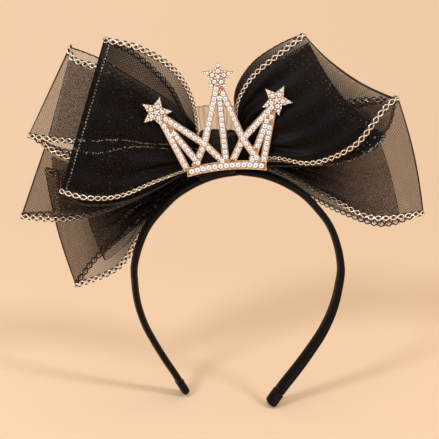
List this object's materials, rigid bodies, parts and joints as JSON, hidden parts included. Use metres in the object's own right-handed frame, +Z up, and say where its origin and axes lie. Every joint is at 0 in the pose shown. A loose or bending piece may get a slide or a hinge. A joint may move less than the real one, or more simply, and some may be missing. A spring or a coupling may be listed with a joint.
{
  "type": "mini crown headband",
  "caption": "Cloth-bound headband with a bow of sheer black ribbon loops with gold corded edges and a small pierced rose-gold crown set with clear stones.",
  "frame": {"origin": "inside of the band at its highest point, where the top of the head carries it", "axes": "+Z up out of the head; -Y is the front, where the crown is; +X is on the right as seen from the front"},
  "size_m": [0.2574, 0.0564, 0.2428],
  "materials": {
    "band_cloth": "black bound cloth with a soft sheen",
    "knot_cloth": "black gathered organza, many layers",
    "sheer_ribbon": "sheer black organza",
    "glitter_ribbon": "black organza with fine silver glitter",
    "gold_edging": "gold and black corded edging",
    "crown_metal": "rose-gold plated cast metal",
    "stone": "clear faceted stones, foil backed"
  },
  "bodies": {
    "root": {"band": "band_cloth", "tip_left": "band_cloth", "tip_right": "band_cloth", "knot": "knot_cloth", "knot_frill": "sheer_ribbon", "loop_front_left": "sheer_ribbon", "loop_upper_left": "sheer_ribbon", "loop_middle_left": "sheer_ribbon", "loop_lower_left": "sheer_ribbon", "loop_front_right": "sheer_ribbon", "loop_lower_right": "sheer_ribbon", "inner_front_left": "glitter_ribbon", "inner_upper_left": "glitter_ribbon", "inner_middle_left": "glitter_ribbon", "inner_lower_left": "glitter_ribbon", "inner_front_right": "glitter_ribbon", "inner_lower_right": "glitter_ribbon", "edging_front_left": "gold_edging", "edging_upper_left": "gold_edging", "edging_middle_left": "gold_edging", "edging_lower_left": "gold_edging", "edging_front_right": "gold_edging", "edging_lower_right": "gold_edging", "crown_frame": "crown_metal", "foot_and_bar_stones": "stone", "star_stones": "stone"}
  },
  "joints": []
}
